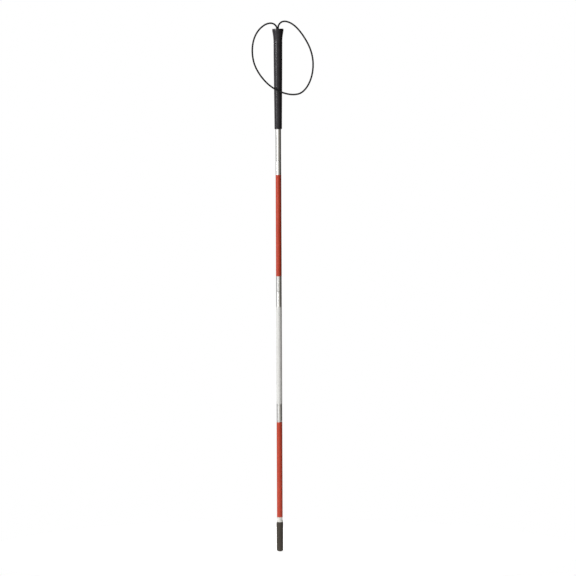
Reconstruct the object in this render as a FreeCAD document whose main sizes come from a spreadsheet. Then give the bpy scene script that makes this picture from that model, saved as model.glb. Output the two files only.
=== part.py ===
"""A folding white cane: four aluminium sections held together by an inner elastic.

The cane stands on its tip, with +Z up the shaft and the origin at the tip's lowest point. Millimetres.
"""
import FreeCAD, Part
import math
import os
import re

import Sketcher
from FreeCAD import Placement, Rotation, Vector

# Driving dimensions. Each becomes a cell of the sheet, and every piece reads its sizes there.
SIZES = {
    # shaft
    "cane_length": 1220,
    "section_length": 304,
    "tube_radius": 6.5,
    "tube_wall": 1.0,
    "mouth_chamfer": 0.4,
    "seam_gap": 0.3,
    # reflective sleeves: top and bottom height of each
    "tape_thickness": 0.15,
    "upper_red_top": 880,
    "upper_red_foot": 644,
    "white_top": 572.5,
    "white_foot": 346,
    "lower_red_top": 303,
    "lower_red_foot": 80.5,
    # ferrules: a seat pressed into the section above and a nose that enters the one below
    "ferrule_seat": 20,
    "nose_length": 15,
    "nose_base_radius": 5.45,
    "nose_end_radius": 2.75,
    "nose_curve": 41.7,
    "ferrule_bore": 2.1,
    # inner elastic
    "elastic_radius": 1.6,
    "bridge_above": 3,
    "bridge_below": 16,
    # grip
    "grip_foot": 986.3,
    "grip_foot_radius": 8.75,
    "grip_foot_round": 2,
    "grip_palm_height": 161,
    "grip_palm_radius": 10.15,
    "grip_neck_height": 206,
    "grip_neck_radius": 10.3,
    "cap_radius": 13.2,
    "cap_round": 1.5,
    "cap_thickness": 7,
    "cap_hole": 4.4,
    # wrist loop and its knot
    "loop_radius": 2,
    "washer_radius": 5.4,
    "washer_thickness": 1.5,
    "knot_height": 10,
    "knot_radius": 5,
    "knot_end_radius": 4.3,
    "knot_curve": 10,
    # top anchor of the elastic
    "anchor_height": 1185,
    "anchor_pin_radius": 1.25,
    "anchor_pin_inset": 0.2,
    "eye_radius": 2.95,
    "whipping_radius": 3.4,
    "whipping_length": 6,
    "whipping_drop": 9,
    # tip
    "tube_foot": 80,
    "sleeve_height": 69.2,
    "sleeve_radius": 7.95,
    "sleeve_band": 13.2,
    "sleeve_foot_radius": 7.5,
    "sleeve_foot_height": 4.5,
    "sleeve_toe_radius": 4.5,
    "sleeve_toe_height": 0.8,
    "sleeve_toe_curve": 5,
    "peg_radius": 4.5,
    "peg_play": 0.05,
    "peg_length": 20,
    "shoulder_rim": 0.8,
    "shoulder_height": 4.8,
    "neck_radius": 6.2,
    "shank_radius": 5.45,
    "shank_length": 25,
    # hook of the tip and the elastic's lower end
    "hook_wire": 0.8,
    "hook_radius": 3,
    "hook_stem": 14,
    "hook_embedded": 12,
    "hook_sweep": 290,
    "end_loop_radius": 3.4,
    "end_loop_wire": 1.2,
    "hook_play": 0.02,
    "crimp_radius": 3,
    "crimp_bore": 1.7,
    "crimp_length": 6,
}

# The wrist loop's route, seen from the front: out of the cap, left, down, across the front of the grip,
# up on the right and back into the cap. Each entry is x, y, z; y is negative in front of the cane.
LOOP_ROUTE = [
    (-1.1, -1.9, 1211.5),
    (-1.3, -1.9, 1222),
    (-7.2, -2, 1230.3),
    (-17, -2.2, 1233.4),
    (-29.5, -2.6, 1230),
    (-43, -3.2, 1219.3),
    (-53.8, -4, 1202.7),
    (-59.5, -5, 1181),
    (-59.6, -6, 1157.5),
    (-54.6, -7.5, 1135),
    (-42.8, -9.5, 1113),
    (-26, -12, 1093),
    (-8, -15, 1079.5),
    (13, -15, 1070),
    (34, -14, 1066),
    (52.5, -13.5, 1069),
    (66, -13, 1081.5),
    (75.8, -12.5, 1100),
    (81.4, -12.5, 1123),
    (81.6, -12.5, 1148),
    (76, -12, 1171.5),
    (65.7, -11, 1192.8),
    (51.5, -8, 1214),
    (36, -5, 1229.8),
    (20.5, -2, 1237.2),
    (9, 0.2, 1236.4),
    (1.7, 1.6, 1229.2),
    (0.3, 1.9, 1220.5),
    (0.4, 1.9, 1212.5),
]

doc = FreeCAD.newDocument("white_cane")
sheet = doc.addObject("Spreadsheet::Sheet", "Sizes")
for row, (name, value) in enumerate(SIZES.items(), start=1):
    sheet.set(f"A{row}", name)
    sheet.set(f"B{row}", str(value))
    sheet.setAlias(f"B{row}", name)
doc.recompute()

SEAMS = {n: f"{4 - n} * section_length" for n in (1, 2, 3)}
TUBE_BORE = "tube_radius - tube_wall"
SHANK_TOP = "tube_foot + shank_length"
HOOK_CENTRE = f"{SHANK_TOP} + hook_stem - hook_embedded + hook_radius"
END_LOOP_CENTRE = f"{HOOK_CENTRE} + hook_radius - hook_wire - end_loop_wire - hook_play + end_loop_radius"


def in_sheet(text):
    """The expression with each name in it read from the sheet."""
    return re.sub(r"[a-z]\w*", r"Sizes.\g<0>", text)


def size(text):
    """What the expression is worth, in millimetres."""
    return float(sheet.evalExpression(in_sheet(text)))


def place(piece, height, rotation=None):
    """Stands the piece at a height up the shaft, bound to the sheet."""
    piece.Placement = Placement(Vector(0, 0, size(height)), rotation or Rotation())
    piece.setExpression("Placement.Base.z", in_sheet(height))
    return piece


def plane_of(body, role):
    """One of the body's own origin planes."""
    return next(plane for plane in body.Origin.OriginFeatures if plane.Role == role)


def bind_point(sketch, line, end, radius, height):
    """Holds a sketch point at a radius from the axis and a height above the body's base."""
    for kind, axis, text in (("DistanceX", -2, radius), ("DistanceY", -1, height)):
        if size(text) == 0:
            sketch.addConstraint(Sketcher.Constraint("PointOnObject", line, end, axis))
            continue
        where = (-1, 1, line, end, size(text))
        number = sketch.addConstraint(Sketcher.Constraint(kind, *where))
        sketch.setExpression(f"Constraints[{number}]", in_sheet(text))


def arc_between(start, end, radius):
    """The arc from start to end that bulges to the right of its direction."""
    middle, chord = (start + end) / 2, end - start
    inward = Vector(-chord.y, chord.x, 0).normalize()
    rise = radius - math.sqrt(radius**2 - (chord.Length / 2) ** 2)
    return Part.Arc(start, middle - inward * rise, end)


def turned(label, height, outline):
    """A body turned about its axis. The outline runs counter-clockwise as (radius, height) texts;
    a third text is the radius of the arc that leaves the point, bulging outwards."""
    body = doc.addObject("PartDesign::Body", label)
    sketch = body.newObject("Sketcher::SketchObject", f"{label}_outline")
    sketch.AttachmentSupport = [(plane_of(body, "XZ_Plane"), "")]
    sketch.MapMode = "FlatFace"
    corners = [Vector(size(point[0]), size(point[1]), 0) for point in outline]
    for number, point in enumerate(outline):
        start, end = corners[number], corners[(number + 1) % len(corners)]
        if len(point) == 3:
            sketch.addGeometry(arc_between(start, end, size(point[2])))
        else:
            sketch.addGeometry(Part.LineSegment(start, end))
    for number, point in enumerate(outline):
        following = (number + 1) % len(outline)
        sketch.addConstraint(Sketcher.Constraint("Coincident", number, 2, following, 1))
        bind_point(sketch, number, 1, point[0], point[1])
    for number, point in enumerate(outline):
        if len(point) == 3:
            curve = sketch.addConstraint(Sketcher.Constraint("Radius", number, size(point[2])))
            sketch.setExpression(f"Constraints[{curve}]", in_sheet(point[2]))
    turning = body.newObject("PartDesign::Revolution", f"{label}_turning")
    turning.Profile = sketch
    turning.ReferenceAxis = (sketch, ["V_Axis"])
    turning.Angle = 360
    return place(body, height)


def ring(label, height, inner, outer, length):
    """A plain turned ring or tube."""
    return turned(label, height, [(inner, "0"), (outer, "0"), (outer, length), (inner, length)])


def primitive(kind, label, height, rotation=None, **sizes):
    """A Part primitive with its sizes bound to the sheet."""
    piece = doc.addObject(f"Part::{kind}", label)
    for name, text in sizes.items():
        piece.setExpression(name, in_sheet(text))
    return place(piece, height, rotation)


def fused(label, *pieces):
    """One solid from several."""
    union = doc.addObject("Part::MultiFuse", label)
    union.Shapes = list(pieces)
    return union


def section_tube(label, foot, top):
    """A section's tube, with the edge of its upper mouth broken on the inside."""
    length = f"{top} - ({foot})"
    chamfer_foot = f"{length} - mouth_chamfer"
    return turned(label, foot, [
        (TUBE_BORE, "0"),
        ("tube_radius", "0"),
        ("tube_radius", length),
        (f"{TUBE_BORE} + mouth_chamfer", length),
        (TUBE_BORE, chamfer_foot),
    ])


def handle_tube():
    """The first section's tube, drilled across for the anchor pin."""
    foot = f"{SEAMS[1]} + seam_gap / 2"
    tube = section_tube("handle_tube", foot, "cane_length - cap_thickness")
    drilling = tube.newObject("Sketcher::SketchObject", "anchor_hole_outline")
    drilling.AttachmentSupport = [(plane_of(tube, "YZ_Plane"), "")]
    drilling.MapMode = "FlatFace"
    height = f"anchor_height - ({foot})"
    drilling.addGeometry(Part.Circle(Vector(0, size(height), 0), Vector(0, 0, 1), size("anchor_pin_radius")))
    drilling.addConstraint(Sketcher.Constraint("PointOnObject", 0, 3, -2))
    up = drilling.addConstraint(Sketcher.Constraint("DistanceY", -1, 1, 0, 3, size(height)))
    drilling.setExpression(f"Constraints[{up}]", in_sheet(height))
    wide = drilling.addConstraint(Sketcher.Constraint("Radius", 0, size("anchor_pin_radius")))
    drilling.setExpression(f"Constraints[{wide}]", in_sheet("anchor_pin_radius"))
    hole = tube.newObject("PartDesign::Pocket", "anchor_hole")
    hole.Profile = drilling
    hole.Type = "ThroughAll"
    hole.Midplane = True
    return tube


def grip():
    """The rubber grip: a tapered sleeve with a flared cap closed by a flat top."""
    length = "cane_length - grip_foot"
    return turned("grip", "grip_foot", [
        ("tube_radius", "0"),
        ("grip_foot_radius - grip_foot_round", "0", "grip_foot_round"),
        ("grip_foot_radius", "grip_foot_round"),
        ("grip_palm_radius", "grip_palm_height"),
        ("grip_neck_radius", "grip_neck_height"),
        ("cap_radius", f"{length} - 4 * cap_round"),
        ("cap_radius", f"{length} - cap_round", "cap_round"),
        ("cap_radius - cap_round", length),
        ("cap_hole", length),
        ("cap_hole", f"{length} - cap_thickness"),
        ("tube_radius", f"{length} - cap_thickness"),
    ])


def ferrule(number):
    """The round-nosed ferrule at the lower end of a section."""
    seated = "nose_length + seam_gap / 2"
    total = "nose_length + ferrule_seat"
    return turned(f"ferrule_{number}", f"{SEAMS[number]} - nose_length", [
        ("ferrule_bore", "0"),
        ("nose_end_radius", "0", "nose_curve"),
        ("nose_base_radius", "nose_length"),
        ("nose_base_radius", seated),
        (TUBE_BORE, seated),
        (TUBE_BORE, total),
        ("ferrule_bore", total),
    ])


def elastic(label, foot, top):
    """A straight stretch of the inner elastic."""
    return primitive("Cylinder", label, foot, Radius="elastic_radius", Height=f"{top} - ({foot})")


def elastic_stretches():
    """The elastic of each section, and the stretch at each seam that bends when the cane folds."""
    whipping_foot = "anchor_height - whipping_drop"
    tops = [whipping_foot] + [f"{SEAMS[n]} - bridge_below" for n in (1, 2, 3)]
    end_loop_top = f"{END_LOOP_CENTRE} + end_loop_radius + end_loop_wire"
    feet = [f"{SEAMS[n]} + bridge_above" for n in (1, 2, 3)] + [end_loop_top]
    pieces = [elastic(f"elastic_{n + 1}", feet[n], tops[n]) for n in range(4)]
    for n in (1, 2, 3):
        pieces.append(elastic(f"elastic_bridge_{n}", tops[n], feet[n - 1]))
    return pieces


def elastic_knot():
    """The elastic's upper eye round the anchor pin, closed by a whipping."""
    sideways = Rotation(Vector(0, 1, 0), 90)
    eye = primitive("Torus", "elastic_eye", "anchor_height", sideways,
                    Radius1="eye_radius", Radius2="elastic_radius")
    whipping = primitive("Cylinder", "whipping", "anchor_height - whipping_drop",
                         Radius="whipping_radius", Height="whipping_length")
    return fused("elastic_knot", eye, whipping)


def anchor_pin():
    """The cross pin that carries the elastic, its ends just inside the tube's surface."""
    reach = "tube_radius - anchor_pin_inset"
    pin = primitive("Cylinder", "anchor_pin", "anchor_height", Rotation(Vector(0, 1, 0), 90),
                    Radius="anchor_pin_radius", Height=f"2 * ({reach})")
    pin.Placement.Base.x = -size(reach)
    pin.setExpression("Placement.Base.x", in_sheet(f"-1 * ({reach})"))
    return pin


def loop_knot():
    """The knot that joins the wrist loop's ends under the washer."""
    height = "cane_length - cap_thickness - washer_thickness - knot_height"
    return turned("loop_knot", height, [
        ("0", "0"),
        ("knot_end_radius", "0", "knot_curve"),
        ("knot_radius", "knot_height / 2", "knot_curve"),
        ("knot_end_radius", "knot_height"),
        ("0", "knot_height"),
    ])


def tip_sleeve():
    """The dark tip: a band at the top, a slight taper and a rounded toe, bored for the peg."""
    return turned("tip_sleeve", "0", [
        ("0", "0"),
        ("sleeve_toe_radius", "sleeve_toe_height", "sleeve_toe_curve"),
        ("sleeve_foot_radius", "sleeve_foot_height"),
        ("sleeve_radius", "sleeve_height - sleeve_band"),
        ("sleeve_radius", "sleeve_height"),
        ("peg_radius + peg_play", "sleeve_height"),
        ("peg_radius + peg_play", "sleeve_height - peg_length"),
        ("0", "sleeve_height - peg_length"),
    ])


def tip_collar():
    """The white nylon collar: a peg into the tip, a flared shoulder, a neck and a shank in the tube."""
    neck_top = "tube_foot - seam_gap - sleeve_height + peg_length"
    total = f"{neck_top} + seam_gap + shank_length"
    return turned("tip_collar", "sleeve_height - peg_length", [
        ("0", "0"),
        ("peg_radius", "0"),
        ("peg_radius", "peg_length"),
        ("sleeve_radius", "peg_length"),
        ("sleeve_radius", "peg_length + shoulder_rim"),
        ("neck_radius", "peg_length + shoulder_height"),
        ("neck_radius", neck_top),
        ("shank_radius", neck_top),
        ("shank_radius", total),
        ("hook_wire", total),
        ("hook_wire", f"{total} - hook_embedded"),
        ("0", f"{total} - hook_embedded"),
    ])


def tip_hook():
    """The open wire hook that stands in the tip's shank."""
    stem = primitive("Cylinder", "hook_stem_wire", f"{SHANK_TOP} - hook_embedded",
                     Radius="hook_wire", Height="hook_stem")
    upright = Rotation(Vector(1, 0, 0), 90).multiply(Rotation(Vector(0, 0, 1), -90))
    bow = primitive("Torus", "hook_bow", HOOK_CENTRE, upright,
                    Radius1="hook_radius", Radius2="hook_wire")
    bow.setExpression("Angle3", in_sheet("hook_sweep"))
    return fused("tip_hook", stem, bow)


def tangent_path(route):
    """Straight runs joined by arcs, each arc as large as its two runs allow. Returns (wire, arc radii)."""
    points = [Vector(*point) for point in route]
    edges, radii, start = [], [], points[0]
    for before, corner, after in zip(points, points[1:], points[2:]):
        back, ahead = before - corner, after - corner
        half_turn = (math.pi - back.getAngle(ahead)) / 2
        reach = 0.45 * min(back.Length, ahead.Length)
        radii.append(reach / math.tan(half_turn))
        first, last = corner + back.normalize() * reach, corner + ahead.normalize() * reach
        inward = (back + ahead).normalize()
        crown = corner + inward * radii[-1] * (1 / math.cos(half_turn) - 1)
        edges.append(Part.LineSegment(start, first).toShape())
        edges.append(Part.Arc(first, crown, last).toShape())
        start = last
    edges.append(Part.LineSegment(start, points[-1]).toShape())
    return Part.Wire(edges), radii


def wrist_loop():
    """The elastic wrist loop, swept along its route."""
    path, radii = tangent_path(LOOP_ROUTE)
    radius = size("loop_radius")
    section = Part.Wire(Part.makeCircle(radius, Vector(*LOOP_ROUTE[0]), Vector(0, 0, 1)))
    cord = doc.addObject("Part::Feature", "wrist_loop")
    cord.Shape = path.makePipeShell([section], True, False)
    expected = math.pi * radius**2 * path.Length
    print(f"wrist loop: length {path.Length:.1f} mm, tightest arc {min(radii):.1f} mm,")
    print(f"  volume {cord.Shape.Volume:.0f} mm3 against {expected:.0f} mm3 expected")
    print("  arc radii:", " ".join(f"{r:.0f}" for r in radii))
    return cord


def build():
    """Every piece of the cane, each an object of the document that becomes one file."""
    pieces = [grip(), handle_tube(), anchor_pin(), elastic_knot(), loop_knot(), wrist_loop()]
    pieces.append(ring("loop_washer", "cane_length - cap_thickness - washer_thickness",
                       "cap_hole", "washer_radius", "washer_thickness"))
    for n in (2, 3, 4):
        foot = f"{SEAMS[n]} + seam_gap / 2" if n < 4 else "tube_foot"
        pieces.append(section_tube(f"tube_{n}", foot, f"{SEAMS[n - 1]} - seam_gap / 2"))
    for label, name in (("red_tape_2", "upper_red"), ("white_tape_3", "white"), ("red_tape_4", "lower_red")):
        pieces.append(ring(label, f"{name}_foot", "tube_radius", "tube_radius + tape_thickness",
                           f"{name}_top - {name}_foot"))
    pieces += [ferrule(n) for n in (1, 2, 3)]
    pieces += elastic_stretches()
    pieces += [tip_sleeve(), tip_collar(), tip_hook()]
    pieces.append(primitive("Torus", "elastic_loop", END_LOOP_CENTRE, Rotation(Vector(0, 1, 0), 90),
                            Radius1="end_loop_radius", Radius2="end_loop_wire"))
    pieces.append(ring("loop_crimp", f"{END_LOOP_CENTRE} + end_loop_radius + end_loop_wire",
                       "crimp_bore", "crimp_radius", "crimp_length"))
    return pieces


def check(pieces):
    """Stops if any object failed or any piece is not one valid solid."""
    for thing in doc.Objects:
        if {"Invalid", "Error"} & set(thing.State):
            raise RuntimeError(f"{thing.Label} failed: {thing.State}")
    for piece in pieces:
        shape = piece.Shape
        if shape.isNull() or not shape.isValid() or len(shape.Solids) != 1 or shape.Volume <= 0:
            raise RuntimeError(f"{piece.Label} is not one valid solid")


parts = build()
doc.recompute()
check(parts)
os.makedirs("parts", exist_ok=True)
for part in parts:
    part.Shape.exportStep(f"parts/{part.Label}.step")
print(f"wrote {len(parts)} pieces")
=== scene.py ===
import math

import bpy
from mathutils import Matrix, Vector


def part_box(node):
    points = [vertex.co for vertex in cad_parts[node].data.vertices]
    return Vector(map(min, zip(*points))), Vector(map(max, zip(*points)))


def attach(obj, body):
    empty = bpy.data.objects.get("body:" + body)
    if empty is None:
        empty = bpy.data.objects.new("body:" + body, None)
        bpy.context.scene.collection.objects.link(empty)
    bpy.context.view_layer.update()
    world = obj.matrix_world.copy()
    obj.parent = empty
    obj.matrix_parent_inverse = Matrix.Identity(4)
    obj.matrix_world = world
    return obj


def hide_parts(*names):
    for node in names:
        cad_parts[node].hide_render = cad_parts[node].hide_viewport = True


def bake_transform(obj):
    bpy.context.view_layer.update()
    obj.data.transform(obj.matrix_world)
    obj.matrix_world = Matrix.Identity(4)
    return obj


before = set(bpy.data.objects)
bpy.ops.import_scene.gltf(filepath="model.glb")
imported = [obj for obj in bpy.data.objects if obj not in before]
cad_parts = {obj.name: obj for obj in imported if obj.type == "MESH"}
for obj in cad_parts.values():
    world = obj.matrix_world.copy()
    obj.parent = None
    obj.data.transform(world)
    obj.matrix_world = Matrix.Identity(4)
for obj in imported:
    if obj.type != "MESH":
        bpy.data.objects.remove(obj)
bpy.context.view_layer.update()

MM = 0.001

# ---------------------------------------------------------------- sizes read from the frame

SECTIONS = ("handle", "section_2", "section_3", "section_4")
TUBES = ("handle_tube", "tube_2", "tube_3", "tube_4")
TUBE_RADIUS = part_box("tube_2")[1].x
SEAMS = {n: (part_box(TUBES[n - 1])[0].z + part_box(TUBES[n])[1].z) / 2 for n in (1, 2, 3)}
ELASTIC_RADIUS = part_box("elastic_2")[1].x
GRIP_FOOT, GRIP_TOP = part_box("grip")[0].z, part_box("grip")[1].z
TIP_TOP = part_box("tip_sleeve")[1].z

# ---------------------------------------------------------------- sizes chosen here

# The tubes' wall and bore, and what slides in the bore: a ferrule's nose and the collar's shank.
TUBE_WALL = 1.0 * MM
BORE_RADIUS = TUBE_RADIUS - TUBE_WALL
PLUG_RADIUS = 5.45 * MM

# The cords. A braid is given as its strands in each set round the cord, and the millimetres along the
# cord from one strand to the next.
LOOP_RADIUS = 2 * MM
LOOP_BRAID = (8, 2.4)
ELASTIC_BRAID = (8, 2.6)

# Faces round a turned piece, and in a fillet's arc.
TURN_STEPS = 96
FILLET_STEPS = 6

# The wrist loop's route: out of the cap, left, down, across the front of the grip, up on the right
# and back into the cap. Metres, in the frame.
LOOP_ROUTE = [
    (-0.0011, -0.0019, 1.2115),
    (-0.0013, -0.0019, 1.222),
    (-0.0072, -0.002, 1.2303),
    (-0.017, -0.0022, 1.2334),
    (-0.0295, -0.0026, 1.23),
    (-0.043, -0.0032, 1.2193),
    (-0.0538, -0.004, 1.2027),
    (-0.0595, -0.005, 1.181),
    (-0.0596, -0.006, 1.1575),
    (-0.0546, -0.0075, 1.135),
    (-0.0428, -0.0095, 1.113),
    (-0.026, -0.012, 1.093),
    (-0.008, -0.015, 1.0795),
    (0.013, -0.015, 1.07),
    (0.034, -0.014, 1.066),
    (0.0525, -0.0135, 1.069),
    (0.066, -0.013, 1.0815),
    (0.0758, -0.0125, 1.1),
    (0.0814, -0.0125, 1.123),
    (0.0816, -0.0125, 1.148),
    (0.076, -0.012, 1.1715),
    (0.0657, -0.011, 1.1928),
    (0.0515, -0.008, 1.214),
    (0.036, -0.005, 1.2298),
    (0.0205, -0.002, 1.2372),
    (0.009, 0.0002, 1.2364),
    (0.0017, 0.0016, 1.2292),
    (0.0003, 0.0019, 1.2205),
    (0.0004, 0.0019, 1.2125),
]


# ---------------------------------------------------------------- node trees

class Nodes:
    """A node tree, with short calls for the nodes that the world and the finishes need."""

    def __init__(self, tree):
        self.nodes, self.links = tree.nodes, tree.links

    def feed(self, socket, value):
        """Links the socket where the value is another node's output, or else sets it."""
        if isinstance(value, bpy.types.NodeSocket):
            self.links.new(value, socket)
        else:
            socket.default_value = value

    def node(self, kind, **inputs):
        """A node with its inputs fed."""
        made = self.nodes.new(f"ShaderNode{kind}")
        for name, value in inputs.items():
            self.feed(made.inputs[name.replace("_", " ")], value)
        return made

    def split(self, vector):
        """The vector's x, y and z."""
        return self.node("SeparateXYZ", Vector=vector).outputs

    def spread(self, value, low, high, out_low=0.0, out_high=1.0):
        """The value between low and high, as a smooth step from out_low to out_high."""
        ends = {"From_Min": low, "From_Max": high, "To_Min": out_low, "To_Max": out_high}
        step = self.node("MapRange", Value=value, **ends)
        step.interpolation_type = "SMOOTHSTEP"
        return step.outputs["Result"]

    def compute(self, operation, first, second=0.0):
        """One sum on one or two values."""
        made = self.nodes.new("ShaderNodeMath")
        made.operation = operation
        self.feed(made.inputs[0], first)
        self.feed(made.inputs[1], second)
        return made.outputs[0]

    def shade(self, amount, first, second):
        """The colour that lies between two by an amount from 0 to 1."""
        mix = self.nodes.new("ShaderNodeMix")
        mix.data_type = "RGBA"
        self.feed(mix.inputs["Factor"], amount)
        self.feed(mix.inputs[6], first)
        self.feed(mix.inputs[7], second)
        return mix.outputs[2]


# ---------------------------------------------------------------- camera, light and floor

def make_camera():
    """A long lens in front of the cane, level with its grip, that looks a little down at its middle."""
    distance, rise = 10.0, 0.5
    aim = Vector((0.0212, 0, 0.6164))
    seen_width = 1.3425
    lean = math.radians(-0.23)
    lens = bpy.data.cameras.new("camera")
    lens.sensor_width = 36
    lens.lens = lens.sensor_width * math.hypot(distance, rise) / seen_width
    lens.clip_end = 200
    camera = bpy.data.objects.new("camera", lens)
    place = aim + Vector((0, -distance, rise))
    look = (aim - place).to_track_quat("-Z", "Y").to_matrix().to_4x4()
    camera.matrix_world = Matrix.Translation(place) @ look @ Matrix.Rotation(lean, 4, "Z")
    bpy.context.collection.objects.link(camera)
    bpy.context.scene.camera = camera


def area_light(name, place, aim, width, height, power):
    """A softbox that doesn't show to the camera."""
    light = bpy.data.lights.new(name, "AREA")
    light.shape = "RECTANGLE"
    light.size, light.size_y = width, height
    light.energy = power
    lamp = bpy.data.objects.new(name, light)
    lamp.location = place
    lamp.rotation_euler = (Vector(aim) - Vector(place)).to_track_quat("-Z", "Y").to_euler()
    lamp.visible_camera = False
    bpy.context.collection.objects.link(lamp)


def make_world():
    """A surround that is white to the camera. What the cane reflects of it is darker to the right,
    behind, above and below, and warmer to the right, so that round metal shows its shape."""
    white, warm_white = (1, 1, 1, 1), (1, 0.94, 0.83, 1)
    world = bpy.data.worlds.new("studio")
    bpy.context.scene.world = world
    world.use_nodes = True
    sky = Nodes(world.node_tree)
    right, back, up = sky.split(sky.node("TexCoord").outputs["Generated"])
    side = sky.spread(right, -0.35, 1.05, 0.82, 0.08)
    flank = sky.compute("MULTIPLY", side, sky.spread(back, -0.6, 0.5, 1.0, 0.45))
    behind = sky.spread(back, 0.6, 1.0, 0.0, 0.3)
    below = sky.spread(up, -0.7, -0.1, 0.4, 1.0)
    above = sky.spread(up, 0.12, 0.6, 1.0, 0.3)
    level = sky.compute("MAXIMUM", flank, behind)
    reflected = sky.compute("MULTIPLY", level, sky.compute("MULTIPLY", below, above))
    camera_ray = sky.node("LightPath").outputs["Is Camera Ray"]
    warmth = sky.compute("SUBTRACT", sky.spread(right, -0.4, 0.5), camera_ray)
    background = sky.nodes["Background"].inputs
    sky.feed(background["Strength"], sky.compute("MAXIMUM", reflected, camera_ray))
    sky.feed(background["Color"], sky.shade(warmth, white, warm_white))


def make_floor():
    """A plain pale disc of floor under the tip, as bright as the surround."""
    bpy.ops.mesh.primitive_circle_add(vertices=96, radius=0.7, fill_type="NGON", location=(0, 0, 0))
    floor = bpy.context.object
    floor.name = "floor"
    paint = bpy.data.materials.new("pale_floor")
    paint.use_nodes = True
    shader = paint.node_tree.nodes["Principled BSDF"]
    shader.inputs["Base Color"].default_value = (0.92, 0.92, 0.92, 1)
    shader.inputs["Roughness"].default_value = 0.9
    shader.inputs["Specular IOR Level"].default_value = 0.1
    shader.inputs["Emission Color"].default_value = (1, 1, 1, 1)
    shader.inputs["Emission Strength"].default_value = 0.54
    floor.data.materials.append(paint)


def make_studio():
    """Camera, surround, floor and three softboxes: two from the left, and one from behind for the floor."""
    make_camera()
    make_world()
    make_floor()
    area_light("key", (-1.6, -1.27, 2.0), aim=(0, 0, 0.75), width=0.75, height=1.8, power=62)
    area_light("strip", (-1.7, -1.64, 0.85), aim=(0, 0, 0.65), width=0.35, height=1.65, power=4.5)
    area_light("back", (-0.5, 2.2, 2.5), aim=(0, 0, 0.65), width=1.4, height=1.8, power=42)
    view = bpy.context.scene.view_settings
    view.view_transform = "Standard"
    view.look = "None"


# ---------------------------------------------------------------- finishes

class Finish(Nodes):
    """A material. Each call of tint, roughen or relief adds one layer to its Principled shader."""

    def __init__(self, name, color, roughness, metallic=0.0, specular=0.5):
        self.material = bpy.data.materials.new(name)
        self.material.use_nodes = True
        super().__init__(self.material.node_tree)
        self.shader = self.nodes["Principled BSDF"].inputs
        self.color, self.roughness, self.normal = (*color, 1), roughness, None
        self.shader["Base Color"].default_value = self.color
        self.shader["Roughness"].default_value = roughness
        self.shader["Metallic"].default_value = metallic
        self.shader["Specular IOR Level"].default_value = specular

    def place(self, stretch=(1, 1, 1)):
        """Points in the frame, in millimetres, times a factor along each axis."""
        spot = self.node("TexCoord").outputs["Object"]
        scale = [factor / MM for factor in stretch]
        return self.node("Mapping", Vector=spot, Scale=scale).outputs[0]

    def surface(self, across=1, along=1):
        """The piece's own surface: turns round the axis times across, millimetres along it times along."""
        spot = self.nodes.new("ShaderNodeUVMap")
        spot.uv_map = "surface"
        return self.node("Mapping", Vector=spot.outputs[0], Scale=(across, along, 1)).outputs[0]

    def noise(self, where, scale, detail=2.0, roughness=0.5):
        """Cloudy noise from 0 to 1."""
        cloud = self.node("TexNoise", Vector=where, Scale=scale, Detail=detail, Roughness=roughness)
        return cloud.outputs["Fac"]

    def slants(self, count, pitch):
        """Two sets of bands that wind round the piece, one each way: count of each set round it, and
        pitch millimetres along it from one to the next. A band begins at each whole number."""
        around, along = self.split(self.surface())[0:2]
        turn = self.compute("MULTIPLY", around, count)
        step = self.compute("DIVIDE", along, pitch)
        return self.compute("ADD", turn, step), self.compute("SUBTRACT", turn, step)

    def ridge(self, band):
        """0 at each whole number and 1 half way between: a saw of straight ridges."""
        saw = self.compute("PINGPONG", band, 0.5)
        return self.compute("MULTIPLY", saw, 2.0)

    def tint(self, amount, color):
        """Moves the colour towards another by an amount from 0 to 1."""
        self.color = self.shade(amount, self.color, (*color, 1))
        self.feed(self.shader["Base Color"], self.color)

    def roughen(self, amount, change):
        """Adds change times the amount to the roughness."""
        added = self.compute("MULTIPLY", amount, change)
        self.roughness = self.compute("ADD", added, self.roughness)
        self.feed(self.shader["Roughness"], self.roughness)

    def relief(self, height, depth):
        """Raises the surface by depth, in metres, where height is 1."""
        bump = self.node("Bump", Height=height, Distance=depth)
        if self.normal is not None:
            self.feed(bump.inputs["Normal"], self.normal)
        self.normal = bump.outputs[0]
        self.feed(self.shader["Normal"], self.normal)


def grip_rubber():
    """Black moulded rubber: a faint diamond texture over the palm, a pebbled skin and an uneven gloss."""
    diamonds_round, diamond_length = 36, 1.8
    palm_foot, palm_top, fade = GRIP_FOOT / MM + 16.7, GRIP_TOP / MM - 32, 3
    finish = Finish("grip_rubber", (0.0165, 0.0148, 0.0178), 0.22, specular=0.32)
    where = finish.place()
    cloud = finish.noise(where, scale=0.08, detail=3)
    finish.tint(finish.spread(cloud, 0.35, 0.7, 0, 0.5), (0.028, 0.026, 0.030))
    rising, falling = finish.slants(diamonds_round, diamond_length)
    diamond = finish.compute("MULTIPLY", finish.ridge(rising), finish.ridge(falling))
    height = finish.split(where)[2]
    over_foot = finish.spread(height, palm_foot, palm_foot + fade)
    under_top = finish.spread(height, palm_top, palm_top - fade)
    palm = finish.compute("MULTIPLY", over_foot, under_top)
    finish.relief(finish.compute("MULTIPLY", finish.spread(diamond, 0.05, 0.6), palm), 0.02 * MM)
    finish.relief(finish.noise(where, scale=2.6, detail=4, roughness=0.6), 0.015 * MM)
    finish.roughen(finish.noise(where, scale=0.5, detail=3), 0.08)
    return finish.material


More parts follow.
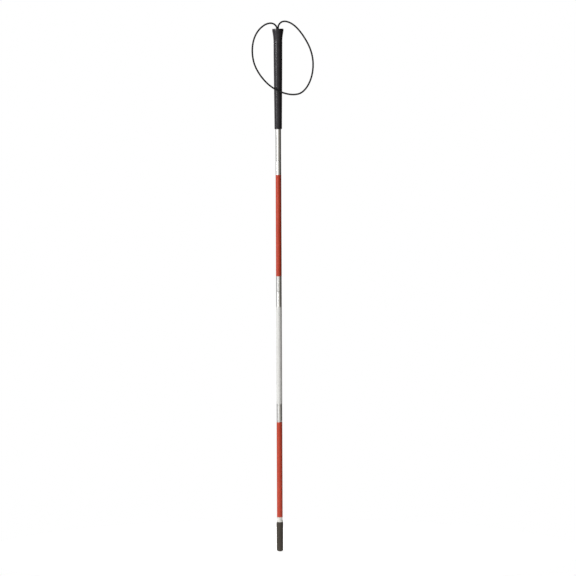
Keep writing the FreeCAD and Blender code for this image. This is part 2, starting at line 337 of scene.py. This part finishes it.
def braid(name, color, fleck, strands, pitch):
    """A braided textile cover over rubber: two sets of strands that pass over and under each other."""
    finish = Finish(name, color, 0.66, specular=0.2)
    first, second = finish.slants(strands, pitch)
    cell = finish.compute("ADD", finish.compute("FLOOR", first), finish.compute("FLOOR", second))
    over = finish.compute("PINGPONG", cell, 1.0)
    upper = finish.node("Mix", Factor=over, A=finish.ridge(first), B=finish.ridge(second))
    height = finish.spread(upper.outputs["Result"], 0.0, 0.9)
    fibre = finish.noise(finish.surface(across=60, along=9), scale=1.0, detail=2)
    finish.tint(finish.compute("MULTIPLY", height, fibre), fleck)
    finish.relief(height, 0.10 * MM)
    finish.relief(fibre, 0.03 * MM)
    finish.roughen(fibre, 0.2)
    return finish.material


def drawn_aluminium():
    """Bare drawn tube: fine lines along the shaft, faint handling marks and a dulled ring at each seam."""
    ring_edge, ring_core = 5.0, 1.0
    finish = Finish("bare_aluminium", (0.80, 0.795, 0.775), 0.29, metallic=1.0)
    lines = finish.noise(finish.place((6, 6, 0.02)), scale=1.0, detail=3, roughness=0.6)
    marks = finish.noise(finish.place((0.9, 0.9, 0.08)), scale=0.6, detail=5, roughness=0.65)
    rubbed = finish.spread(marks, 0.58, 0.72)
    height = finish.split(finish.place())[2]
    rings = 0.0
    for seam in SEAMS.values():
        away = finish.compute("ABSOLUTE", finish.compute("SUBTRACT", height, seam / MM))
        rings = finish.compute("MAXIMUM", rings, finish.spread(away, ring_edge, ring_core))
    finish.tint(finish.compute("MULTIPLY", rings, 0.45), (0.42, 0.42, 0.41))
    finish.tint(finish.compute("MULTIPLY", rubbed, 0.3), (0.60, 0.60, 0.59))
    finish.roughen(lines, 0.03)
    finish.roughen(rubbed, 0.03)
    finish.roughen(rings, 0.12)
    finish.relief(lines, 0.008 * MM)
    finish.relief(marks, 0.004 * MM)
    return finish.material


def turned_aluminium():
    """Lathe-turned ferrule: tool rings round it, dulled in patches by wear."""
    finish = Finish("ferrule_aluminium", (0.72, 0.72, 0.71), 0.26, metallic=1.0)
    rings = finish.noise(finish.place((0.02, 0.02, 7)), scale=1.0, detail=2)
    wear = finish.noise(finish.place((1.2, 1.2, 0.15)), scale=1.0, detail=4)
    finish.relief(rings, 0.02 * MM)
    finish.roughen(rings, 0.12)
    finish.roughen(finish.spread(wear, 0.55, 0.7), 0.2)
    finish.tint(finish.spread(wear, 0.5, 0.75, 0, 0.5), (0.5, 0.5, 0.49))
    return finish.material


def reflective_film(name, color, bright, dark):
    """Retroreflective film: a faint net of square seals over fine beads, scuffed and a little faded."""
    seals_round, seals_per_mm = 9, 0.22
    finish = Finish(name, color, 0.30, specular=0.38)
    squares = finish.surface(seals_round, seals_per_mm)
    net = finish.node("TexVoronoi", Vector=squares, Scale=1.0, Randomness=0.0)
    net.feature = "DISTANCE_TO_EDGE"
    net.voronoi_dimensions = "2D"
    seal = finish.spread(net.outputs["Distance"], 0.07, 0.02)
    beads = finish.noise(finish.place(), scale=5.0, detail=2)
    fade = finish.noise(finish.place((1, 1, 0.25)), scale=0.06, detail=3)
    marks = finish.noise(finish.place((0.9, 0.9, 0.12)), scale=0.9, detail=5, roughness=0.65)
    scuff = finish.spread(marks, 0.60, 0.72)
    finish.tint(finish.spread(fade, 0.3, 0.75, 0, 0.5), bright)
    finish.tint(finish.spread(beads, 0.4, 0.8, 0, 0.25), bright)
    finish.tint(finish.compute("MULTIPLY", seal, 0.10), dark)
    finish.tint(finish.compute("MULTIPLY", scuff, 0.18), dark)
    finish.roughen(scuff, 0.22)
    finish.roughen(beads, 0.10)
    finish.relief(finish.compute("SUBTRACT", 1.0, seal), 0.012 * MM)
    finish.relief(beads, 0.004 * MM)
    return finish.material


def white_nylon():
    """Moulded white nylon with a soft grain and a little dirt."""
    finish = Finish("white_nylon", (0.58, 0.57, 0.54), 0.38, specular=0.4)
    where = finish.place()
    dirt = finish.noise(where, scale=0.5, detail=5, roughness=0.6)
    finish.tint(finish.spread(dirt, 0.5, 0.8, 0, 0.35), (0.50, 0.47, 0.41))
    finish.roughen(finish.noise(where, scale=0.9, detail=3), 0.18)
    finish.relief(finish.noise(where, scale=1.6, detail=3), 0.03 * MM)
    return finish.material


def tip_polymer():
    """The dark tip: matte, dusty, and scuffed paler towards the end that sweeps the ground."""
    scuffed_to, worn_to = 14.0, 1.0
    finish = Finish("tip_polymer", (0.036, 0.0295, 0.022), 0.52, specular=0.25)
    where = finish.place()
    low = finish.spread(finish.split(where)[2], scuffed_to, worn_to)
    marks = finish.noise(finish.place((1.0, 1.0, 3.2)), scale=0.7, detail=5, roughness=0.7)
    scratch = finish.spread(marks, 0.52, 0.68)
    dust = finish.noise(where, scale=0.16, detail=4)
    finish.tint(finish.spread(dust, 0.35, 0.75, 0, 0.5), (0.057, 0.048, 0.037))
    worn = finish.compute("MULTIPLY", scratch, finish.spread(low, 0, 1, 0.12, 0.75))
    finish.tint(worn, (0.17, 0.155, 0.13))
    finish.roughen(scratch, 0.2)
    finish.roughen(dust, 0.15)
    finish.relief(finish.noise(where, scale=2.2, detail=4, roughness=0.6), 0.05 * MM)
    finish.relief(scratch, -0.04 * MM)
    return finish.material


def plain_steel():
    """Zinc-plated wire and pins, with duller spots."""
    finish = Finish("steel", (0.60, 0.60, 0.59), 0.30, metallic=1.0)
    spots = finish.noise(finish.place(), scale=1.5, detail=4)
    finish.roughen(spots, 0.2)
    finish.tint(finish.spread(spots, 0.5, 0.8, 0, 0.4), (0.42, 0.41, 0.39))
    finish.relief(spots, 0.01 * MM)
    return finish.material


# ---------------------------------------------------------------- shapes

def rounded(corners):
    """The closed outline through (radius, height, fillet) corners, each fillet an arc."""
    points = []
    for number, (radius, height, fillet) in enumerate(corners):
        here = Vector((radius, height))
        if not fillet:
            points.append(here)
            continue
        back = (Vector(corners[number - 1][:2]) - here).normalized()
        ahead = (Vector(corners[(number + 1) % len(corners)][:2]) - here).normalized()
        half = back.angle(ahead) / 2
        centre = here + (back + ahead).normalized() * fillet / math.sin(half)
        start = here + back * fillet / math.tan(half) - centre
        end = here + ahead * fillet / math.tan(half) - centre
        first = math.atan2(start.y, start.x)
        sweep = (math.atan2(end.y, end.x) - first + math.pi) % (2 * math.pi) - math.pi
        for step in range(FILLET_STEPS + 1):
            angle = first + sweep * step / FILLET_STEPS
            points.append(centre + Vector((math.cos(angle), math.sin(angle))) * fillet)
    return points


def patch(left, right, low, high):
    """A four-cornered face's surface coordinates."""
    return [(left, low), (right, low), (right, high), (left, high)]


def mesh_piece(name, vertices, faces, surface, material, sharp=32):
    """A mesh with its own surface coordinates, smooth except where it turns by sharp degrees."""
    mesh = bpy.data.meshes.new(name)
    mesh.from_pydata(vertices, [], faces)
    layer = mesh.uv_layers.new(name="surface")
    layer.data.foreach_set("uv", [number for face in surface for spot in face for number in spot])
    mesh.polygons.foreach_set("use_smooth", [True] * len(mesh.polygons))
    mesh.validate()
    mesh.set_sharp_from_angle(angle=math.radians(sharp))
    mesh.materials.append(material)
    piece = bpy.data.objects.new(name, mesh)
    bpy.context.collection.objects.link(piece)
    return piece


def lathe(name, corners, material):
    """The rounded outline of (radius, height, fillet) corners, turned about the shaft's axis."""
    outline = rounded(corners)
    vertices, rings = [], []
    for radius, height in outline:
        if radius == 0:
            rings.append([len(vertices)] * TURN_STEPS)
            vertices.append((0, 0, height))
            continue
        rings.append(list(range(len(vertices), len(vertices) + TURN_STEPS)))
        for step in range(TURN_STEPS):
            angle = 2 * math.pi * step / TURN_STEPS
            vertices.append((radius * math.cos(angle), radius * math.sin(angle), height))
    faces, surface = [], []
    along = 0.0
    for number, ring in enumerate(rings):
        following = (number + 1) % len(rings)
        above = rings[following]
        length = (outline[following] - outline[number]).length / MM
        for step in range(TURN_STEPS):
            after = (step + 1) % TURN_STEPS
            ends = [ring[step], ring[after], above[after], above[step]]
            spots = patch(step / TURN_STEPS, (step + 1) / TURN_STEPS, along, along + length)
            kept = [n for n in range(4) if ends[n] not in ends[:n]]
            if len(kept) > 2:
                faces.append([ends[n] for n in kept])
                surface.append([spots[n] for n in kept])
        along += length
    return mesh_piece(name, vertices, faces, surface, material)


def dress(piece, node, body):
    """The piece takes a CAD node's place. It moves with the body, if one is named."""
    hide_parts(node)
    if body:
        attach(piece, body)


# ---------------------------------------------------------------- the cane's pieces

def make_grip(material):
    """Tapered sleeve, a raised ring, then the flared cap with a dished top and the loop's hole."""
    foot, neck, groove, band = 8.7 * MM, 10.2 * MM, 9.95 * MM, 10.5 * MM
    rim, dish, hole = 13.15 * MM, 5.6 * MM, 4.4 * MM
    ring, ring_height = GRIP_TOP - 34 * MM, 1.4 * MM
    flare_foot, flare_top = GRIP_TOP - 31 * MM, GRIP_TOP - 5.5 * MM
    flare_steps, flare_curl = 14, 1.8
    cap_floor = GRIP_TOP - 7 * MM
    flare = []
    for step in range(flare_steps + 1):
        share = step / flare_steps
        radius = neck + (rim - neck) * share ** flare_curl
        flare.append((radius, flare_foot + (flare_top - flare_foot) * share, 0))
    corners = [
        (TUBE_RADIUS, GRIP_FOOT, 0),
        (foot, GRIP_FOOT, 2.0 * MM),
        (8.8 * MM, GRIP_FOOT + 20 * MM, 0),
        (9.35 * MM, GRIP_FOOT + 78 * MM, 0),
        (10.1 * MM, GRIP_FOOT + 160 * MM, 0),
        (neck, GRIP_FOOT + 190 * MM, 0),
        (10.25 * MM, ring - 1.6 * MM, 0.3 * MM),
        (groove, ring - 1.2 * MM, 0.2 * MM),
        (groove, ring - 0.6 * MM, 0.2 * MM),
        (band, ring, 0.4 * MM),
        (band, ring + ring_height, 0.4 * MM),
        *flare,
        (rim + 0.05 * MM, GRIP_TOP, 1.6 * MM),
        (9.2 * MM, GRIP_TOP, 1.2 * MM),
        (dish, GRIP_TOP - 1.3 * MM, 0.8 * MM),
        (hole, GRIP_TOP - 2.2 * MM, 0.5 * MM),
        (hole, cap_floor, 0),
        (TUBE_RADIUS, cap_floor, 0),
    ]
    dress(lathe("moulded_grip", corners, material), "grip", "handle")


def make_tube(node, body, material):
    """A drawn tube with its ends faced and their edges broken."""
    low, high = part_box(node)[0].z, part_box(node)[1].z
    outer, inner, broken = TUBE_RADIUS, BORE_RADIUS, 0.3 * MM
    foot_bevel, top_bevel = 0.2 * MM, 0.4 * MM
    corners = [
        (inner + foot_bevel, low, 0),
        (outer, low, broken),
        (outer, high, broken),
        (inner + top_bevel, high, 0),
        (inner, high - top_bevel, 0),
        (inner, low + foot_bevel, 0),
    ]
    dress(lathe(f"{node}_drawn", corners, material), node, body)


def make_ferrule(number, body, material):
    """A turned ferrule: pressed into its own section above the seam, with a rounded nose below it."""
    node = f"ferrule_{number}"
    low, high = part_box(node)[0].z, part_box(node)[1].z
    seam = SEAMS[number]
    bore, curve, bevel = 2.1 * MM, 41.7 * MM, 0.3 * MM
    shoulder = seam + 0.15 * MM
    nose_steps = 12
    nose = []
    for step in range(nose_steps + 1):
        height = low + bevel + (seam - low - bevel) * step / nose_steps
        drop = curve - math.sqrt(curve ** 2 - (seam - height) ** 2)
        nose.append((PLUG_RADIUS - drop, height, 0))
    corners = [
        (bore + bevel, low, 0),
        (nose[0][0] - bevel, low, 0),
        *nose,
        (PLUG_RADIUS, shoulder, 0),
        (BORE_RADIUS, shoulder, 0),
        (BORE_RADIUS, high, bevel),
        (bore, high, 0),
        (bore, low + bevel, 0),
    ]
    dress(lathe(f"{node}_turned", corners, material), node, body)


def make_film(name, node, body, material, seam_angle):
    """Film wrapped once round the tube with a narrow overlap down one side."""
    low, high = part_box(node)[0].z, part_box(node)[1].z
    whole = 2 * math.pi
    thickness, edge = 0.15 * MM, 0.06 * MM
    overlap, climb = math.radians(28), math.radians(5)
    tube_gap, film_gap = 0.005 * MM, 0.02 * MM
    steps, bands = 104, 12
    between = [(low + (high - low) * n / bands, 0) for n in range(1, bands)]
    levels = [(low, edge), (low + edge, 0), *between, (high - edge, 0), (high, edge)]
    angles = [(whole + overlap) * step / steps for step in range(steps + 1)]
    vertices = []
    for height, inset in levels:
        for face in (0, 1):
            for angle in angles:
                climbed = min(max((angle - whole + climb) / climb, 0), 1)
                lift = climbed * climbed * (3 - 2 * climbed) * (thickness + film_gap)
                radius = TUBE_RADIUS + tube_gap + lift + (thickness - inset) * face
                turn = angle + seam_angle
                vertices.append((radius * math.cos(turn), radius * math.sin(turn), height))
    row, width = steps + 1, 2 * (steps + 1)
    section = list(range(row, 2 * row)) + list(range(row - 1, -1, -1))
    faces, surface = [], []
    for level in range(len(levels) - 1):
        lower, upper = level * width, (level + 1) * width
        foot, top = levels[level][0] / MM, levels[level + 1][0] / MM
        for corner in range(width):
            a, b = section[corner], section[(corner + 1) % width]
            faces.append([lower + a, lower + b, upper + b, upper + a])
            surface.append(patch(angles[a % row] / whole, angles[b % row] / whole, foot, top))
    for level, flip in ((0, True), (len(levels) - 1, False)):
        for step in range(steps):
            inner, outer = level * width + step, level * width + row + step
            face = [inner, inner + 1, outer + 1, outer]
            faces.append(face if flip else face[::-1])
            surface.append([(angles[step] / whole, levels[level][0] / MM)] * 4)
    dress(mesh_piece(name, vertices, faces, surface, material), node, body)


def braid_height(turn, along, strands, pitch):
    """0 to 1: how high the braid stands at a turn round the cord and a distance along it, in millimetres."""
    first, second = turn * strands + along / pitch, turn * strands - along / pitch
    under = (math.floor(first) + math.floor(second)) % 2
    strand = second if under else first
    return 1 - abs(2 * (strand % 1) - 1)


def braided_cord(name, path, radius, material, weave, relief, steps):
    """A round cord swept along a path, the strands of its braid standing proud by relief."""
    last = len(path) - 1
    tangents = [(path[min(n + 1, last)] - path[max(n - 1, 0)]).normalized() for n in range(len(path))]
    side = tangents[0].orthogonal().normalized()
    vertices, along = [], [0.0]
    for number, (point, tangent) in enumerate(zip(path, tangents)):
        if number:
            side = (side - tangent * side.dot(tangent)).normalized()
            along.append(along[-1] + (point - path[number - 1]).length / MM)
        up = tangent.cross(side)
        for step in range(steps):
            turn = step / steps
            reach = radius - relief * (1 - braid_height(turn, along[-1], *weave))
            angle = 2 * math.pi * turn
            vertices.append(point + (side * math.cos(angle) + up * math.sin(angle)) * reach)
    faces, surface = [], []
    for ring in range(last):
        low, high = ring * steps, (ring + 1) * steps
        for step in range(steps):
            after = (step + 1) % steps
            faces.append([low + step, low + after, high + after, high + step])
            surface.append(patch(step / steps, (step + 1) / steps, along[ring], along[ring + 1]))
    for ring, order in ((0, -1), (last, 1)):
        faces.append([ring * steps + step for step in range(steps)][::order])
        surface.append([(0, along[ring])] * steps)
    return mesh_piece(name, vertices, faces, surface, material, sharp=60)


def route_line(route, name):
    """Points along the smooth spline that has the route's points as its control points."""
    curve = bpy.data.curves.new(name, "CURVE")
    curve.dimensions = "3D"
    curve.resolution_u = 64
    spline = curve.splines.new("NURBS")
    spline.points.add(len(route) - 1)
    for point, place in zip(spline.points, route):
        point.co = (*place, 1)
    spline.order_u = 3
    spline.use_endpoint_u = True
    holder = bpy.data.objects.new(name, curve)
    bpy.context.collection.objects.link(holder)
    bpy.context.view_layer.update()
    mesh = bpy.data.meshes.new_from_object(holder)
    line = [vertex.co.copy() for vertex in mesh.vertices]
    bpy.data.objects.remove(holder)
    bpy.data.meshes.remove(mesh)
    return line


def upright_line(low, high, spacing):
    """Points up the shaft's axis, about spacing apart."""
    count = max(2, round((high - low) / spacing))
    return [Vector((0, 0, low + (high - low) * n / count)) for n in range(count + 1)]


def make_wrist_loop(material):
    """The braided elastic loop, out of the cap's hole and back into it."""
    line = route_line(LOOP_ROUTE, "loop_route")
    relief = 0.12 * MM
    piece = braided_cord("wrist_loop_cord", line, LOOP_RADIUS, material, LOOP_BRAID, relief, steps=40)
    dress(piece, "wrist_loop", "handle")


def make_elastic(material):
    """The inner elastic: a stretch in each section, and one at each seam."""
    relief, stretch = 0.1 * MM, 60 * MM
    for number in (1, 2, 3, 4):
        node = f"elastic_{number}"
        low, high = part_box(node)[0].z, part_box(node)[1].z
        line = upright_line(low, low + stretch, 0.5 * MM) + upright_line(low + stretch, high, 2 * MM)[1:]
        piece = braided_cord(f"{node}_cord", line, ELASTIC_RADIUS, material, ELASTIC_BRAID, relief, steps=24)
        dress(piece, node, None)
        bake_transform(piece)
    for number, seam in SEAMS.items():
        node = f"elastic_bridge_{number}"
        low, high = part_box(node)[0].z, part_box(node)[1].z
        line = upright_line(low, high, 0.25 * MM)
        piece = braided_cord(f"{node}_cord", line, ELASTIC_RADIUS, material, ELASTIC_BRAID, relief, steps=32)
        dress(piece, node, None)
        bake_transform(piece)


def make_tip(nylon, polymer):
    """The white collar, its shank up in the last tube, and the dark tip on the collar's peg."""
    low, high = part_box("tip_collar")[0].z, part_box("tip_collar")[1].z
    neck_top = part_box("tube_4")[0].z - 0.3 * MM
    sleeve, neck, peg = 7.95 * MM, 6.2 * MM, 4.5 * MM
    hook_wire, hook_depth = 0.8 * MM, 12 * MM
    collar = [
        (0, low, 0),
        (peg, low, 0.5 * MM),
        (peg, TIP_TOP, 0),
        (sleeve, TIP_TOP, 0.3 * MM),
        (sleeve, TIP_TOP + 0.8 * MM, 0.4 * MM),
        (neck, TIP_TOP + 4.7 * MM, 0.9 * MM),
        (neck, neck_top, 0.4 * MM),
        (PLUG_RADIUS, neck_top, 0),
        (PLUG_RADIUS, high, 0.6 * MM),
        (hook_wire, high, 0),
        (hook_wire, high - hook_depth, 0),
        (0, high - hook_depth, 0),
    ]
    groove, groove_bed = TIP_TOP - 12.7 * MM, 7.45 * MM
    gap = 0.02 * MM
    tip = [
        (0, 0, 0),
        (2.2 * MM, 0.25 * MM, 0.6 * MM),
        (5.2 * MM, 0.9 * MM, 1.5 * MM),
        (7.55 * MM, 3.6 * MM, 2.4 * MM),
        (7.6 * MM, 10 * MM, 0),
        (7.72 * MM, groove - 0.9 * MM, 0.3 * MM),
        (groove_bed, groove - 0.45 * MM, 0.2 * MM),
        (groove_bed, groove + 0.15 * MM, 0.2 * MM),
        (sleeve, groove + 0.6 * MM, 0.4 * MM),
        (sleeve, TIP_TOP - gap, 0.5 * MM),
        (peg + gap, TIP_TOP - gap, 0),
        (peg + gap, low - gap, 0),
        (0, low - gap, 0),
    ]
    dress(lathe("nylon_collar", collar, nylon), "tip_collar", "tip")
    dress(lathe("tip_end", tip, polymer), "tip_sleeve", "tip")


def finish_cad_nodes(steel, aluminium, cord, inner):
    """The small inner pieces keep their CAD shapes and get their finishes."""
    finishes = {
        "anchor_pin": steel, "loop_washer": steel, "tip_hook": steel, "loop_crimp": aluminium,
        "loop_knot": cord, "elastic_knot": inner, "elastic_loop": inner,
    }
    for node, material in finishes.items():
        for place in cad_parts[node].material_slots:
            place.material = material


def make_cane():
    """Every piece of the cane, with its finish."""
    aluminium, ferrule_metal, steel = drawn_aluminium(), turned_aluminium(), plain_steel()
    loop_cover = braid("loop_braid", (0.006, 0.006, 0.0065), (0.022, 0.022, 0.024), *LOOP_BRAID)
    inner_cover = braid("inner_braid", (0.05, 0.05, 0.055), (0.12, 0.12, 0.125), *ELASTIC_BRAID)
    red = reflective_film("red_film", (0.38, 0.034, 0.012), (0.44, 0.056, 0.024), (0.24, 0.020, 0.009))
    white = reflective_film("white_film", (0.57, 0.57, 0.55), (0.63, 0.63, 0.615), (0.46, 0.46, 0.445))
    make_wrist_loop(loop_cover)
    make_grip(grip_rubber())
    for tube, body in zip(TUBES, SECTIONS):
        make_tube(tube, body, aluminium)
    for number, body in zip(SEAMS, SECTIONS):
        make_ferrule(number, body, ferrule_metal)
    make_film("upper_red_film", "red_tape_2", "section_2", red, seam_angle=math.radians(70))
    make_film("white_film", "white_tape_3", "section_3", white, seam_angle=math.radians(100))
    make_film("lower_red_film", "red_tape_4", "section_4", red, seam_angle=math.radians(60))
    make_elastic(inner_cover)
    make_tip(white_nylon(), tip_polymer())
    finish_cad_nodes(steel, ferrule_metal, loop_cover, inner_cover)


make_studio()
make_cane()
